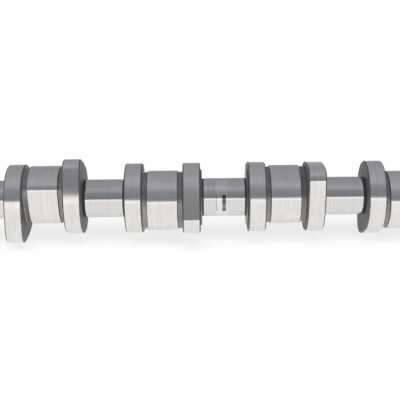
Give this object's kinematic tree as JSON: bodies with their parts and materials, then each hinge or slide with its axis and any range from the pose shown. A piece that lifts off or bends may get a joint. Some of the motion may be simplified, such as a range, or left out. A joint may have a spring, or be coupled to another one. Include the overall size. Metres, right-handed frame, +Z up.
{
  "type": "camshaft",
  "caption": "One-piece engine camshaft with valve lobes, wider injector lobes between them, round bearing journals and a taper for its sprocket.",
  "frame": {"origin": "centre of the middle bearing journal, on the shaft's axis", "axes": "+X along the shaft from its sprocket end to its plain end, +Z up as it lies on its lobes, -Y toward the viewer"},
  "size_m": [0.4101, 0.0658, 0.0658],
  "materials": {
    "shaft": "fine-ground lobes, polished journals, dark as-cast necks and sides"
  },
  "bodies": {
    "root": {"camshaft": "shaft"}
  },
  "joints": []
}
